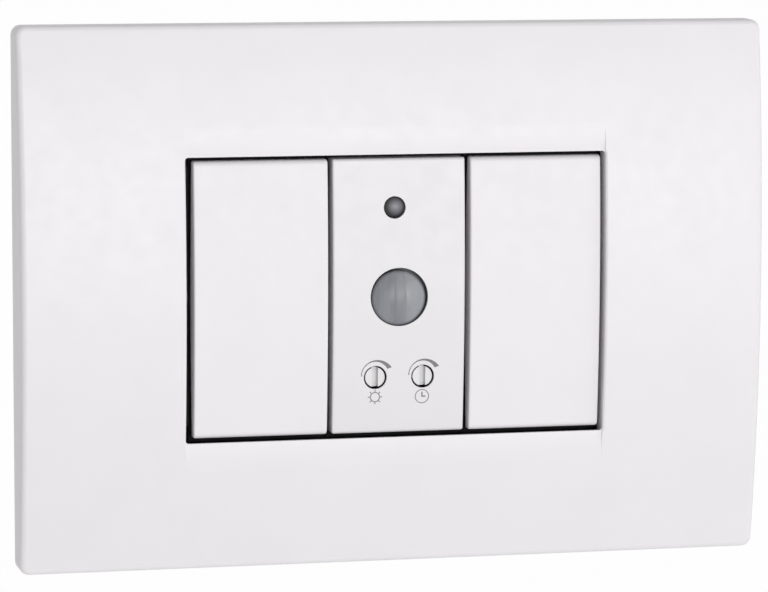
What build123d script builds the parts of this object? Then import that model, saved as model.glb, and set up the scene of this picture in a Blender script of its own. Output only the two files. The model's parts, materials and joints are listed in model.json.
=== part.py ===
from build123d import *
import math
import os

os.makedirs("parts", exist_ok=True)

# A three-module wall plate: a rocker switch, a motion sensor and a second rocker switch.
# Sizes are in millimetres. X runs to the right, Y into the wall and Z up.
# The origin is midway between the two box screws, on the wall plane.
# A depth in front of the wall is a positive value here and a negative Y in the model.

# Modules and their places
module_pitch = 22.5
module_count = 3
module_row_shift = 0.2
housing_gap = 0.3

# Cover plate
plate_side_margin = 7.0
plate_end_margin = 7.6
plate_crown = 8.6
plate_edge = 4.7
plate_wall = 2.0
plate_corner_radius = 1.6
plate_edge_radius = 0.9
plate_side_draft = 0.3
opening_side_gap = 1.015
opening_shift = -0.17
opening_end_gap = 0.7
opening_corner_radius = 0.5
opening_edge_radius = 0.42
scoop_depth = 0.4
scoop_reach = 4.5
rim_wall = 1.8
lip_thickness = 0.55
lip_reach = 0.8
end_wall = 1.2

# Snap arms of the cover plate
clip_side_margin = 8.0
clip_end_gap = 3.8
clip_width = 7.6
clip_thickness = 1.4
clip_tooth = 0.6
clip_tooth_height = 0.85
clip_tip_depth = 0.3
clip_play = 0.15

# Mounting frame
frame_side_margin = 8.65
frame_end_margin = 6.0
frame_thickness = 2.2
frame_corner_radius = 4.0
frame_wall = 1.4
frame_wall_front = 4.2
frame_wall_play = 0.2
frame_rim_width = 1.2
frame_rim_height = 0.8
rail_play = 0.2
window_side_play = 0.25
ledge_thickness = 1.2
ledge_play = 0.2

# Box screws
box_screw_margin = 7.75
box_screw_radius = 1.75
box_neck_radius = 1.55
box_screw_length = 25.0
box_head_radius = 3.5
box_head_height = 2.0
box_drive_width = 1.0
box_drive_depth = 1.1
box_slot_radius = 2.1
box_slot_travel = 3.0
box_boss_radius = 5.4
box_boss_height = 0.6

# Front caps: the keys and the sensor fascia
cap_gap = 0.85
cap_overhang = 0.65
cap_radius = 300.0
cap_end_radius = 0.9
cap_side_radius = 0.3
fascia_end_radius = 0.5
cap_wall = 1.2
key_crown = 7.5
key_ceiling = 5.7
fascia_crown = 7.2
fascia_ceiling = 5.5

# Housings
body_height = 43.0
body_wall = 1.2
body_edge_radius = 0.5
rear_edge_radius = 0.35
collar_reach = 1.7
collar_front = 3.0
housing_back = 11.0
lug_width = 10.0
lug_reach = 0.9
lug_flat = 0.3
lug_play = 0.1
tab_slot_width = 0.8
tab_slot_back = 5.6
latch_width = 7.2
latch_thickness = 1.1
latch_play = 0.1
latch_front = 6.5
latch_tooth = 0.9
latch_tooth_front = 7.2
latch_tooth_back = 8.8
latch_root = 2.2

# Rocker
rocker_swing = 3.5
rocker_play = 0.3
rocker_pivot_depth = 1.0
axle_radius = 1.5
axle_play = 0.05
axle_end_play = 0.1
carrier_play = 0.5
carrier_reach = 9.0
carrier_plate = 2.1
hub_reach = 3.3
tube_radius = 3.1
tube_back = 5.0
key_hook_width = 8.0
key_hook_thickness = 1.0
key_hook_length = 2.6
key_hook_tooth = 0.5
key_hook_tooth_height = 0.7
key_hook_play = 0.1

# Plunger and its spring
plunger_radius = 1.7
plunger_play = 0.1
plunger_length = 6.05
plunger_tip_gap = 0.1
spring_wire_radius = 0.2
spring_side_play = 0.1
spring_turns = 7
bore_front_depth = 3.9

# Contact blade and contacts
blade_pivot = 9.0
blade_ratio = 2.0
blade_side_gap = 0.8
blade_end_margin = 10.3
blade_thickness = 0.6
fulcrum_radius = 0.7
fulcrum_play = 0.1
fulcrum_overhang = 0.3
post_thickness = 1.0
rivet_radius = 1.3
rivet_height = 0.6
rivet_inset = 1.5
contact_play = 0.06
strip_thickness = 0.8
strip_width = 3.0
leg_thickness = 0.8

# Terminals
cage_middle_gap = 3.0
cage_side_margin = 1.4
cage_depth = 6.3
wire_end_margin = 7.5
wire_radius = 1.9
wire_guide_play = 0.4
funnel_radius = 2.8
funnel_depth = 0.8
cage_floor = 0.8
cage_roof = 2.4
cage_play = 0.1
cage_sink = 2.2
clamp_screw_radius = 1.2
clamp_screw_play = 0.05
clamp_head_radius = 2.3
clamp_head_height = 1.6
clamp_head_gap = 0.2
clamp_drive_width = 0.7
clamp_drive_depth = 0.8
access_play = 0.5
rear_wall = 1.55
recess_wall = 2.2
recess_floor = 1.55

# Sensor optics
lens_z = -0.1
lens_radius = 4.55
lens_hole_radius = 4.72
lens_rise = 1.3
lens_sink = 0.3
lens_wall = 0.6
lens_flange_radius = 5.7
lens_flange = 0.7
lens_ring_wall = 0.9
hole_lip = 0.5
hole_undercut = 0.5
window_x = -0.75
window_end_margin = 6.0
window_radius = 1.73
window_hole_radius = 1.8
window_sink = 0.45
window_rise = 0.5
window_flange_radius = 2.4
window_flange = 0.7
light_sensor_radius = 1.5
light_sensor_gap = 0.4
can_radius = 4.1
can_flange_radius = 4.6
can_flange = 0.4
can_height = 4.0
can_wall = 0.3
can_header = 0.8
filter_width = 4.0
filter_height = 3.0
filter_margin = 0.4
filter_thickness = 0.4

# Dials and trimmers
dial_middle = 0.07
dial_spread = 3.9
dial_end_margin = 7.22
dial_radius = 1.6
dial_hole_radius = 1.9
dial_sink = 0.3
dial_thickness = 1.6
dial_slot_width = 1.0
dial_slot_depth = 0.9
dial_shaft_radius = 0.9
dial_shaft_play = 0.05
trimmer_size = 6.4
trimmer_height = 3.5
trimmer_bore = 1.5
trimmer_bore_play = 0.1
dial_swing = 105.0

# Circuit boards
board_front = 1.5
board_thickness = 1.2
board_play = 0.3
board_post = 1.9
board_post_height = 2.5
board_post_length = 3.8
chip_width = 5.0
chip_height = 8.0
chip_thickness = 1.7
power_front = 23.4
power_thickness = 1.6
header_end_margin = 1.6
header_count = 5
header_pitch = 2.54
pin_width = 0.64
pin_hole_radius = 0.55
pin_proud = 0.5
spacer_height = 2.0
spacer_depth = 2.5

# Parts on the power board
relay_side_margin = 0.2
relay_end_margin = 1.8
relay_z = -0.6
relay_width = 10.2
relay_front_gap = 3.7
relay_wall = 0.8
yoke_thickness = 1.0
bobbin_radius = 4.0
bobbin_flange = 0.8
winding_radius = 3.5
core_radius = 1.2
core_play = 0.05
core_proud = 0.4
coil_end_space = 6.0
coil_board_gap = 0.9
yoke_air = 0.5
armature_gap = 1.2
armature_width = 7.0
armature_seat_play = 0.2
armature_tip_gap = 0.6
armature_swing = 6.0
part_gap = 0.8
film_end_gap = 0.8
film_side_margin = 0.8
film_depth = 12.5
tall_can_side_margin = 0.6
tall_can_radius = 4.0
tall_can_depth = 12.0
tall_can_groove = 0.3
varistor_side_margin = 0.8
varistor_can_gap = 1.8
varistor_thickness = 3.4
varistor_board_gap = 0.1
fuse_x = -2.5
fuse_place_share = 0.45
fuse_radius = 1.6
fuse_cap_radius = 1.75
fuse_length = 9.0
fuse_cap_length = 2.0
fuse_board_gap = 0.05

# Sensor base
board_rest_length = 5.0
divider_width = 2.4
divider_play = 0.2
sensor_rear_wall = 1.7

overrun = 1.0

# Worked out from the sizes above
body_half = (module_pitch - housing_gap) / 2
body_half_height = body_height / 2
collar_half = body_half_height + collar_reach
inner_half = body_half - body_wall
inner_half_height = body_half_height - body_wall
cap_half = (module_pitch - cap_gap) / 2
cap_half_height = body_half_height + cap_overhang
opening_half = (module_count - 1) * module_pitch / 2 + cap_half + opening_side_gap
opening_half_height = cap_half_height + opening_end_gap
window_half = module_count * module_pitch / 2 + window_side_play
window_half_height = body_half_height + rail_play
wall_half = window_half + frame_wall_play / 2
wall_half_height = collar_half + frame_wall_play
box_screw_x = window_half + box_screw_margin
frame_half = box_screw_x + box_slot_travel / 2 + box_slot_radius + frame_side_margin
clip_x = frame_half - clip_side_margin
clip_z = wall_half_height + frame_wall + clip_end_gap + clip_thickness
frame_half_height = clip_z + frame_end_margin
plate_half = frame_half + plate_side_margin
plate_half_height = frame_half_height + plate_end_margin
plate_drop = plate_crown - plate_edge
plate_radius = (plate_half_height**2 + plate_drop**2) / (2 * plate_drop)
scoop_radius = 1 / (1 / plate_radius + 2 * scoop_depth / scoop_reach**2)
box_seat = frame_thickness + box_boss_height
ledge_back = ledge_thickness - frame_thickness
lug_front = ledge_back + lug_play
lug_back = -lug_play
lug_top = body_half_height + lug_reach
cage_width = inner_half - cage_side_margin - cage_middle_gap / 2
cage_x = (cage_middle_gap + cage_width) / 2
wire_z = body_half_height - wire_end_margin
cage_inner = wire_z - wire_radius - cage_floor
cage_outer = wire_z + wire_radius + cage_roof
blade_width = 2 * (cage_x - strip_width / 2 - blade_side_gap - fulcrum_overhang)
blade_reach = inner_half_height - blade_end_margin
rivet_place = blade_reach - rivet_inset
blade_swing = math.radians(blade_ratio * rocker_swing)
contact_gap = (rivet_place + rivet_radius) * math.sin(blade_swing) + contact_play
blade_back = blade_pivot + blade_thickness / 2
strip_front = blade_back + rivet_height + contact_gap + rivet_height
floor_front = strip_front + strip_thickness
cage_front = floor_front + cage_sink
cage_back = cage_front + cage_depth
base_back = cage_back + rear_wall
power_back = power_front + power_thickness
sensor_cage_back = power_back + cage_depth
sensor_back = sensor_cage_back + sensor_rear_wall
board_back = board_front + board_thickness
bore_radius = plunger_radius + plunger_play
fulcrum_outer = fulcrum_radius + fulcrum_play + blade_thickness
plunger_tip = blade_pivot - fulcrum_outer - plunger_tip_gap
plunger_front = plunger_tip - plunger_length
window_z = inner_half_height - window_end_margin
dial_xs = [dial_middle - dial_spread, dial_middle + dial_spread]
dial_z = dial_end_margin - inner_half_height
header_z = header_end_margin - inner_half_height
board_half = inner_half - board_play
board_half_height = inner_half_height - board_play


def block(x0, x1, y0, y1, z0, z1):
    """A box between two corners."""
    return Pos((x0 + x1) / 2, (y0 + y1) / 2, (z0 + z1) / 2) * Box(x1 - x0, y1 - y0, z1 - z0)


def slab(x, half_x, y0, y1, half_z):
    """A box that is centred on x and on mid height."""
    return block(x - half_x, x + half_x, y0, y1, -half_z, half_z)


def rod_y(x, z, y0, y1, radius):
    return Pos(x, (y0 + y1) / 2, z) * Rot(90, 0, 0) * Cylinder(radius, y1 - y0)


def rod_x(x0, x1, y, z, radius):
    return Pos((x0 + x1) / 2, y, z) * Rot(0, 90, 0) * Cylinder(radius, x1 - x0)


def rod_z(x, y, z0, z1, radius):
    return Pos(x, y, (z0 + z1) / 2) * Cylinder(radius, z1 - z0)


def both_ends(shape):
    """The shape and its mirror image below mid height."""
    return shape + mirror(shape, about=Plane.XY)


def sag(radius, half):
    """How far an arc of this radius has dropped at this distance from its crown."""
    return radius - math.sqrt(radius**2 - half**2)


def prism_x(x, half_x, points):
    """A prism along X with the given outline of (y, z) points."""
    outline = [(x - half_x, y, z) for y, z in points]
    face = make_face(Polyline(*outline, close=True))
    return extrude(face, 2 * half_x, dir=(1, 0, 0))


def crowned_bar(x, half_x, half_z, crown, radius, back, end_rise=0):
    """A bar along X with an arched front; its back rises by end_rise towards both ends."""
    side = x - half_x
    edge = crown - sag(radius, half_z)
    back_line = Polyline(
        (side, -edge, half_z),
        (side, -back - end_rise, half_z),
        (side, -back, 0),
        (side, -back - end_rise, -half_z),
        (side, -edge, -half_z),
    )
    front_arc = ThreePointArc((side, -edge, -half_z), (side, -crown, 0), (side, -edge, half_z))
    return extrude(make_face(back_line + front_arc), 2 * half_x, dir=(1, 0, 0))


def front_face(solid):
    """The large arched face of a crowned bar."""
    return solid.faces().filter_by(GeomType.CYLINDER).sort_by(SortBy.AREA)[-1]


def save(shape, name):
    export_step(shape, "parts/" + name + ".step")


def save_sensor(shape, name):
    """Save a piece of the middle module, which is drawn about its own centre line."""
    solids = [Pos(module_row_shift, 0, 0) * solid for solid in shape.solids()]
    save(group(solids) if len(solids) > 1 else solids[0], name)


def group(solids):
    """Separate solids that share one node."""
    return Compound(children=list(solids))


# Cover plate


def plate_shell():
    """The outer skin: an arched front with rounded edges, open at the back."""
    width = 2 * plate_half
    height = 2 * plate_half_height
    arch = crowned_bar(0, plate_half + overrun, plate_half_height + overrun, plate_crown, plate_radius, 0)
    front_plane = Plane(origin=(0, -plate_crown, 0), x_dir=(1, 0, 0), z_dir=(0, -1, 0))
    wall_outline = Plane.XZ * RectangleRounded(width, height, plate_corner_radius)
    front_outline = front_plane * RectangleRounded(width - 2 * plate_side_draft, height, plate_corner_radius)
    outer = loft([wall_outline, front_outline]) & arch
    outer = fillet(front_face(outer).edges(), plate_edge_radius)
    inner = crowned_bar(
        0,
        plate_half - plate_wall,
        plate_half_height - plate_wall,
        plate_crown - plate_wall,
        plate_radius - plate_wall,
        -overrun,
    )
    return outer - inner


def scoop():
    """The hollow above the opening: an arc that leaves the plate's own arch without a crease."""
    start = opening_half_height - overrun
    end = opening_half_height + scoop_reach
    far = plate_crown - sag(plate_radius, end)
    share = scoop_radius / plate_radius
    centre_z = end * (1 - share)
    centre_y = -far + share * (plate_radius - plate_crown + far)
    side = opening_shift - opening_half

    def on_arc(z):
        return side, centre_y - math.sqrt(scoop_radius**2 - (z - centre_z)**2), z

    arc = ThreePointArc(on_arc(start), on_arc((start + end) / 2), on_arc(end))
    front = -plate_crown - overrun
    closing = Polyline(on_arc(end), (side, front, end), (side, front, start), on_arc(start))
    return extrude(make_face(arc + closing), 2 * opening_half, dir=(1, 0, 0))


def snap_arm(x):
    """One arm of the cover plate, with its tooth turned outwards."""
    root = plate_crown - sag(plate_radius, clip_z) - plate_wall / 2
    half = clip_width / 2
    arm = block(x - half, x + half, -root, -clip_tip_depth, clip_z - clip_thickness, clip_z)
    tooth_points = [
        (-clip_tip_depth, clip_z),
        (-clip_tip_depth - clip_tooth_height / 2, clip_z + clip_tooth),
        (-clip_tip_depth - clip_tooth_height, clip_z + clip_tooth),
        (-clip_tip_depth - clip_tooth_height, clip_z),
    ]
    return arm + prism_x(x, half, tooth_points)


def cover_plate():
    plate = plate_shell()
    undercut_half_height = opening_half_height + lip_reach
    rim_half_height = undercut_half_height + end_wall
    rim_front = plate_crown - plate_wall - sag(plate_radius - plate_wall, rim_half_height)
    rim = slab(opening_shift, opening_half + rim_wall, -rim_front - plate_wall / 2, -frame_wall_front,
               rim_half_height)
    plate = plate + rim
    opening = slab(opening_shift, opening_half, -plate_crown - overrun, overrun, opening_half_height)
    opening = fillet(opening.edges().filter_by(Axis.Y), opening_corner_radius)
    plate = plate - opening
    plate = fillet(front_face(plate).inner_wires()[0].edges(), opening_edge_radius)
    plate = plate - both_ends(scoop())
    lip_back = plate_crown - sag(plate_radius, opening_half_height) - scoop_depth - lip_thickness
    plate = plate - slab(opening_shift, opening_half, -lip_back, overrun, undercut_half_height)
    for x in (-clip_x, clip_x):
        plate = plate + both_ends(snap_arm(x))
    return plate


# Mounting frame


def clip_slot(x):
    """A stepped slot for one snap arm; its step holds the tooth."""
    half = clip_width / 2 + clip_play
    inner = clip_z - clip_thickness - clip_play
    step = clip_tip_depth + clip_tooth_height + clip_play
    narrow = block(x - half, x + half, -frame_thickness - overrun, overrun, inner, clip_z + clip_play)
    wide = block(x - half, x + half, -step, overrun, inner, clip_z + clip_tooth + clip_play)
    return narrow + wide


def screw_slot(x):
    """A slot along X for one box screw."""
    half = box_slot_travel / 2
    front = -box_seat - overrun
    middle = block(x - half, x + half, front, overrun, -box_slot_radius, box_slot_radius)
    return middle + rod_y(x - half, 0, front, overrun, box_slot_radius) + rod_y(
        x + half, 0, front, overrun, box_slot_radius)


def mounting_frame():
    plate = slab(0, frame_half, -frame_thickness, 0, frame_half_height)
    plate = fillet(plate.edges().filter_by(Axis.Y), frame_corner_radius)
    rim = slab(0, frame_half, -frame_thickness - frame_rim_height, -frame_thickness, frame_half_height)
    rim = fillet(rim.edges().filter_by(Axis.Y), frame_corner_radius)
    rim = rim - slab(0, frame_half - frame_rim_width, -frame_wall_front, 0,
                     frame_half_height - frame_rim_width)
    wall = slab(0, wall_half + frame_wall, -frame_wall_front, -frame_thickness,
                wall_half_height + frame_wall)
    wall = wall - slab(0, wall_half, -frame_wall_front - overrun, 0, wall_half_height)
    frame = plate + rim + wall
    for x in (-box_screw_x, box_screw_x):
        frame = frame + rod_y(x, 0, -box_seat, -frame_thickness, box_boss_radius)
    frame = frame - slab(0, window_half, -box_seat - overrun, overrun, window_half_height)
    frame = frame - slab(0, window_half, ledge_back, overrun, lug_top + ledge_play)
    for x in (-box_screw_x, box_screw_x):
        frame = frame - screw_slot(x)
    for x in (-clip_x, clip_x):
        frame = frame - both_ends(clip_slot(x))
    return frame


def box_screw(x):
    """A pan-head screw with a cross recess and a plain neck inside the frame."""
    neck = rod_y(x, 0, -box_seat, 0, box_neck_radius)
    shank = rod_y(x, 0, 0, box_screw_length - box_seat, box_screw_radius)
    head = rod_y(x, 0, -box_seat - box_head_height, -box_seat, box_head_radius)
    head = fillet(head.edges().group_by(Axis.Y)[0], box_head_height / 2)
    top = -box_seat - box_head_height
    arm = box_head_radius / 2
    half = box_drive_width / 2
    drive = block(x - arm, x + arm, top - overrun, top + box_drive_depth, -half, half)
    drive = drive + block(x - half, x + half, top - overrun, top + box_drive_depth, -arm, arm)
    return neck + shank + head - drive


# Housings and bases, common to the switches and the sensor


def housing_shell(x):
    """A collar that rests on the frame and an open tube behind it."""
    collar = slab(x, body_half, -collar_front, -frame_thickness, collar_half)
    body = slab(x, body_half, -frame_thickness, housing_back, body_half_height)
    body = fillet(body.edges().filter_by(Axis.Y), body_edge_radius)
    hollow = slab(x, inner_half, -collar_front - overrun, housing_back + overrun, inner_half_height)
    lug_points = [
        (lug_front, body_half_height - body_wall / 2),
        (lug_front, lug_top),
        (lug_front + lug_flat, lug_top),
        (lug_back, body_half_height),
        (lug_back, body_half_height - body_wall / 2),
    ]
    shell = collar + body + both_ends(prism_x(x, lug_width / 2, lug_points)) - hollow
    latch_half = latch_width / 2 + latch_play
    latch_window = block(x - latch_half, x + latch_half,
                         latch_tooth_front - latch_play, latch_tooth_back + latch_play,
                         inner_half_height - overrun, body_half_height + overrun)
    shell = shell - both_ends(latch_window)
    for side in (-1, 1):
        middle = x + side * (lug_width / 2 + tab_slot_width)
        half = tab_slot_width / 2
        cut = block(middle - half, middle + half, lug_back, tab_slot_back,
                    inner_half_height - overrun, body_half_height + overrun)
        shell = shell - both_ends(cut)
    return shell


def base_block(x, back):
    """The outer form of a base, with rounded edges."""
    base = slab(x, body_half, housing_back, back, body_half_height)
    base = fillet(base.edges().filter_by(Axis.Y), body_edge_radius)
    return fillet(base.faces().sort_by(Axis.Y)[-1].edges(), rear_edge_radius)


def base_latch(x):
    """A tongue of the base that snaps into the housing's latch window."""
    top = inner_half_height - latch_play
    bottom = top - latch_thickness
    half = latch_width / 2
    root_front = housing_back + latch_play
    tongue = block(x - half, x + half, latch_front, root_front + latch_root, bottom, top)
    root = block(x - half, x + half, root_front, root_front + latch_root, bottom,
                 inner_half_height + body_wall / 2)
    tooth_points = [
        (latch_tooth_front, bottom),
        (latch_tooth_back, bottom),
        (latch_tooth_back, top + latch_tooth),
        (latch_tooth_back - latch_play, top + latch_tooth),
        (latch_tooth_front, top),
    ]
    return tongue + root + prism_x(x, half, tooth_points)


def wire_entry(x, z, floor, back):
    """The guide hole and funnel behind one terminal."""
    guide_radius = wire_radius + wire_guide_play
    hole = rod_y(x, z, floor - overrun, back + overrun, guide_radius)
    funnel = Rot(-90, 0, 0) * Cone(guide_radius, funnel_radius, funnel_depth)
    return hole + Pos(x, back - funnel_depth / 2, z) * funnel


def screw_access(x, side, y):
    """The round hole through which a clamp screw is turned."""
    low = side * (cage_outer - overrun)
    high = side * (body_half_height + overrun)
    return rod_z(x, y, min(low, high), max(low, high), clamp_head_radius + access_play)


def cage(x, side, front):
    """A brass block with a wire hole along Y and a threaded hole from its outer end."""
    half = cage_width / 2
    low = min(side * cage_inner, side * cage_outer)
    high = max(side * cage_inner, side * cage_outer)
    brass = block(x - half, x + half, front, front + cage_depth, low, high)
    brass = brass - rod_y(x, side * wire_z, front - overrun, front + cage_depth + overrun, wire_radius)
    start = min(side * wire_z, side * (cage_outer + overrun))
    end = max(side * wire_z, side * (cage_outer + overrun))
    return brass - rod_z(x, front + cage_depth / 2, start, end, clamp_screw_radius + clamp_screw_play)


def clamp_screw(x, side, front):
    """A slotted screw that reaches down to the wire hole."""
    y = front + cage_depth / 2
    tip = wire_z + wire_radius + clamp_screw_play
    seat = cage_outer + clamp_head_gap
    top = seat + clamp_head_height
    half = clamp_drive_width / 2
    screw = rod_z(x, y, tip, seat, clamp_screw_radius) + rod_z(x, y, seat, top, clamp_head_radius)
    screw = screw - block(x - clamp_head_radius - overrun, x + clamp_head_radius + overrun,
                          y - half, y + half, top - clamp_drive_depth, top + overrun)
    if side < 0:
        screw = mirror(screw, about=Plane.XY)
    return screw


# Places of the terminals: the side of the module and the end, up or down
terminal_places = [(-1, 1), (1, 1), (-1, -1)]


def terminal_cages(x, front):
    return group([cage(x + across * cage_x, up, front) for across, up in terminal_places])


def terminal_screws(x, front):
    return group([clamp_screw(x + across * cage_x, up, front) for across, up in terminal_places])


# Switch module


def switch_housing(x):
    """The common shell with a bearing hole in each side wall."""
    bearing = rod_x(x - body_half - overrun, x + body_half + overrun, -rocker_pivot_depth, 0,
                    axle_radius + axle_play)
    return housing_shell(x) - bearing


def terminal_base(x):
    """The rear part: a floor for the contact strips, pockets for the cages and a recess behind."""
    base = base_block(x, base_back)
    base = base - slab(x, inner_half, housing_back - overrun, floor_front, inner_half_height)
    for across, up in terminal_places:
        place = x + across * cage_x
        half = cage_width / 2 + cage_play
        low = min(up * (cage_inner - cage_play), up * (cage_outer + cage_play))
        high = max(up * (cage_inner - cage_play), up * (cage_outer + cage_play))
        base = base - block(place - half, place + half, floor_front - overrun, cage_back, low, high)
        base = base - wire_entry(place, up * wire_z, cage_back, base_back)
        base = base - screw_access(place, up, cage_front + cage_depth / 2)
    recess_half_height = cage_inner - cage_play - recess_wall
    base = base - slab(x, body_half - recess_wall, floor_front + recess_floor, base_back + overrun,
                       recess_half_height)
    return base + both_ends(base_latch(x))


def key_hook(x):
    """A hook under the key that grips the carrier's end."""
    inner = carrier_reach + key_hook_play
    half = key_hook_width / 2
    tip = -key_ceiling + key_hook_length
    hook = block(x - half, x + half, -key_ceiling - cap_wall / 2, tip, inner, inner + key_hook_thickness)
    tooth = block(x - half, x + half, tip - key_hook_tooth_height, tip, inner - key_hook_tooth, inner)
    return hook + tooth


def rocker_key(x):
    """The visible key: an arched cap whose skirt rises towards its ends to clear the collar."""
    end_rise = cap_half_height * math.tan(math.radians(rocker_swing))
    skirt = collar_front + rocker_play
    key = crowned_bar(x, cap_half, cap_half_height, key_crown, cap_radius, skirt, end_rise)
    key = fillet(key.edges().filter_by(Axis.X).group_by(Axis.Y)[0], cap_end_radius)
    key = fillet(front_face(key).edges().filter_by(GeomType.CIRCLE), cap_side_radius)
    key = key - slab(x, cap_half - cap_wall, -key_ceiling, 0, cap_half_height - cap_wall)
    return key + both_ends(key_hook(x))


def rocker_carrier(x):
    """The inner rocker: a plate under the key, a hub with two stub axles and the plunger's tube."""
    half = inner_half - carrier_play
    plate_back = -key_ceiling + carrier_plate
    plate = slab(x, half, -key_ceiling, plate_back, carrier_reach)
    notch_half = key_hook_width / 2 + key_hook_play
    notch_depth = key_hook_tooth + key_hook_play
    notch_front = -key_ceiling + key_hook_length - key_hook_tooth_height - key_hook_play
    notch = block(x - notch_half, x + notch_half, notch_front, plate_back + overrun,
                  carrier_reach - notch_depth, carrier_reach + overrun)
    hub = slab(x, half, plate_back, axle_radius - rocker_pivot_depth + hub_reach / 2, hub_reach)
    axle_end = body_half - axle_end_play
    axle = rod_x(x - axle_end, x + axle_end, -rocker_pivot_depth, 0, axle_radius)
    tube = rod_y(x, 0, 0, tube_back, tube_radius)
    bore = rod_y(x, 0, -bore_front_depth, tube_back + overrun, bore_radius)
    return plate - both_ends(notch) + hub + axle + tube - bore


def plunger(x):
    """A round-nosed pin that slides in the carrier's tube."""
    shoulder = plunger_tip - plunger_radius
    nose = Pos(x, shoulder, 0) * Sphere(plunger_radius)
    return rod_y(x, 0, plunger_front, shoulder, plunger_radius) + nose


def plunger_spring(x):
    """A coil spring between the end of the bore and the plunger."""
    mean_radius = bore_radius - spring_side_play - spring_wire_radius
    start = -bore_front_depth + spring_wire_radius + spring_side_play / 2
    length = plunger_front - spring_wire_radius - spring_side_play / 2 - start
    path = Pos(x, start, 0) * Rot(-90, 0, 0) * Helix(length / spring_turns, length, mean_radius)
    section = Plane(origin=path @ 0, z_dir=path % 0) * Circle(spring_wire_radius)
    return sweep(section, path=path, is_frenet=True)


def contact_blade(x):
    """A see-saw strip: two arms and a hump that sits over the fulcrum."""
    half = blade_width / 2
    inner = fulcrum_radius + fulcrum_play
    hump = rod_x(x - half, x + half, blade_pivot, 0, fulcrum_outer)
    arms = slab(x, half, blade_pivot - blade_thickness / 2, blade_back, blade_reach)
    under = slab(x, half + overrun, blade_pivot, blade_back + fulcrum_outer, inner)
    low = slab(x, half + overrun, blade_back, blade_pivot + fulcrum_outer, fulcrum_outer)
    return hump + arms - rod_x(x - half - overrun, x + half + overrun, blade_pivot, 0, inner) - under - low


def rivets(x, front):
    """Two silver rivet heads, one at each end of the see-saw."""
    back = front + rivet_height
    return group([rod_y(x, z, front, back, rivet_radius) for z in (rivet_place, -rivet_place)])


def common_contact(x):
    """The fulcrum on its post, with a strip down to the lower terminal."""
    half = blade_width / 2 + fulcrum_overhang
    near = x - cage_x + strip_width / 2
    far = x - cage_x - strip_width / 2
    ridge = rod_x(x - half, x + half, blade_pivot, 0, fulcrum_radius)
    post = slab(x, half, blade_pivot, floor_front, post_thickness / 2)
    foot = slab((far + x + half) / 2, (x + half - far) / 2, strip_front, floor_front, strip_width / 2)
    runner = block(far, near, strip_front, floor_front, -wire_z - leg_thickness / 2, 0)
    return ridge + post + foot + runner + leg(x - cage_x, -1)


def leg(x, side):
    """The end of a strip, turned down onto its terminal cage."""
    half = leg_thickness / 2
    return block(x - strip_width / 2, x + strip_width / 2, strip_front, cage_front,
                 side * wire_z - half, side * wire_z + half)


def throw_contact(x, side, end):
    """A strip from under one rivet to the upper terminal on the given side."""
    half = strip_width / 2
    pad = rivet_place + half
    across = x + side * cage_x
    inner = x - side * rivet_radius
    outer = across + side * half
    foot = block(min(inner, outer), max(inner, outer), strip_front, floor_front,
                 end * rivet_place - half, end * rivet_place + half)
    runner = block(across - half, across + half, strip_front, floor_front,
                   end * pad if end < 0 else rivet_place - half, wire_z + leg_thickness / 2)
    return foot + runner + leg(across, 1)


# Motion sensor module


def at_front(z):
    """How far the fascia's front stands off the wall at this height."""
    return fascia_crown - sag(cap_radius, z)


def sensor_fascia():
    fascia = crowned_bar(0, cap_half, cap_half_height, fascia_crown, cap_radius, collar_front)
    fascia = fillet(fascia.edges().filter_by(Axis.X).group_by(Axis.Y)[0], fascia_end_radius)
    fascia = fillet(front_face(fascia).edges().filter_by(GeomType.CIRCLE), cap_side_radius)
    fascia = fascia - slab(0, cap_half - cap_wall, -fascia_ceiling, 0, cap_half_height - cap_wall)
    ring_back = -fascia_ceiling + lens_flange + cap_wall / 2
    ring_inner = lens_flange_radius + latch_play
    fascia = fascia + rod_y(0, lens_z, -fascia_ceiling, ring_back, ring_inner + lens_ring_wall)
    fascia = fascia - rod_y(0, lens_z, -fascia_ceiling, ring_back + overrun, ring_inner)
    front = -fascia_crown - overrun
    fascia = fascia - rod_y(0, lens_z, front, 0, lens_hole_radius)
    fascia = fascia - rod_y(0, lens_z, hole_lip - at_front(lens_radius), 0, lens_hole_radius + hole_undercut)
    fascia = fascia - rod_y(window_x, window_z, front, 0, window_hole_radius)
    for x in dial_xs:
        fascia = fascia - rod_y(x, dial_z, front, 0, dial_hole_radius)
        fascia = fascia - rod_y(x, dial_z, hole_lip - at_front(dial_z), 0, dial_hole_radius + hole_undercut)
    tongue_top = inner_half_height - 2 * latch_play
    tongue = block(-latch_width / 2, latch_width / 2, -fascia_ceiling, -frame_thickness + latch_root,
                   tongue_top - latch_thickness, tongue_top)
    return fascia + both_ends(tongue)


def domed_cap(x, z, radius, edge, rise, back):
    """A round plug along Y whose front is a shallow spherical dome."""
    sphere_radius = (radius**2 + rise**2) / (2 * rise)
    ball = Pos(x, -edge - rise + sphere_radius, z) * Sphere(sphere_radius)
    return rod_y(x, z, -edge - rise, back, radius) & ball


def pir_lens():
    """A thin domed lens with a flange behind the fascia."""
    edge = at_front(lens_radius) - lens_sink
    outer = domed_cap(0, lens_z, lens_radius, edge, lens_rise, -fascia_ceiling)
    flange = rod_y(0, lens_z, -fascia_ceiling, -fascia_ceiling + lens_flange, lens_flange_radius)
    inner = domed_cap(0, lens_z, lens_radius - lens_wall, edge - lens_wall, lens_rise, 0)
    return outer + flange - inner


def light_window():
    """A small dark window set a little way into the fascia."""
    edge = at_front(window_z) - window_sink
    cap = domed_cap(window_x, window_z, window_radius, edge, window_rise, -fascia_ceiling)
    flange_back = -fascia_ceiling + window_flange
    flange = rod_y(window_x, window_z, -fascia_ceiling, flange_back, window_flange_radius)
    return cap + flange


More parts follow.
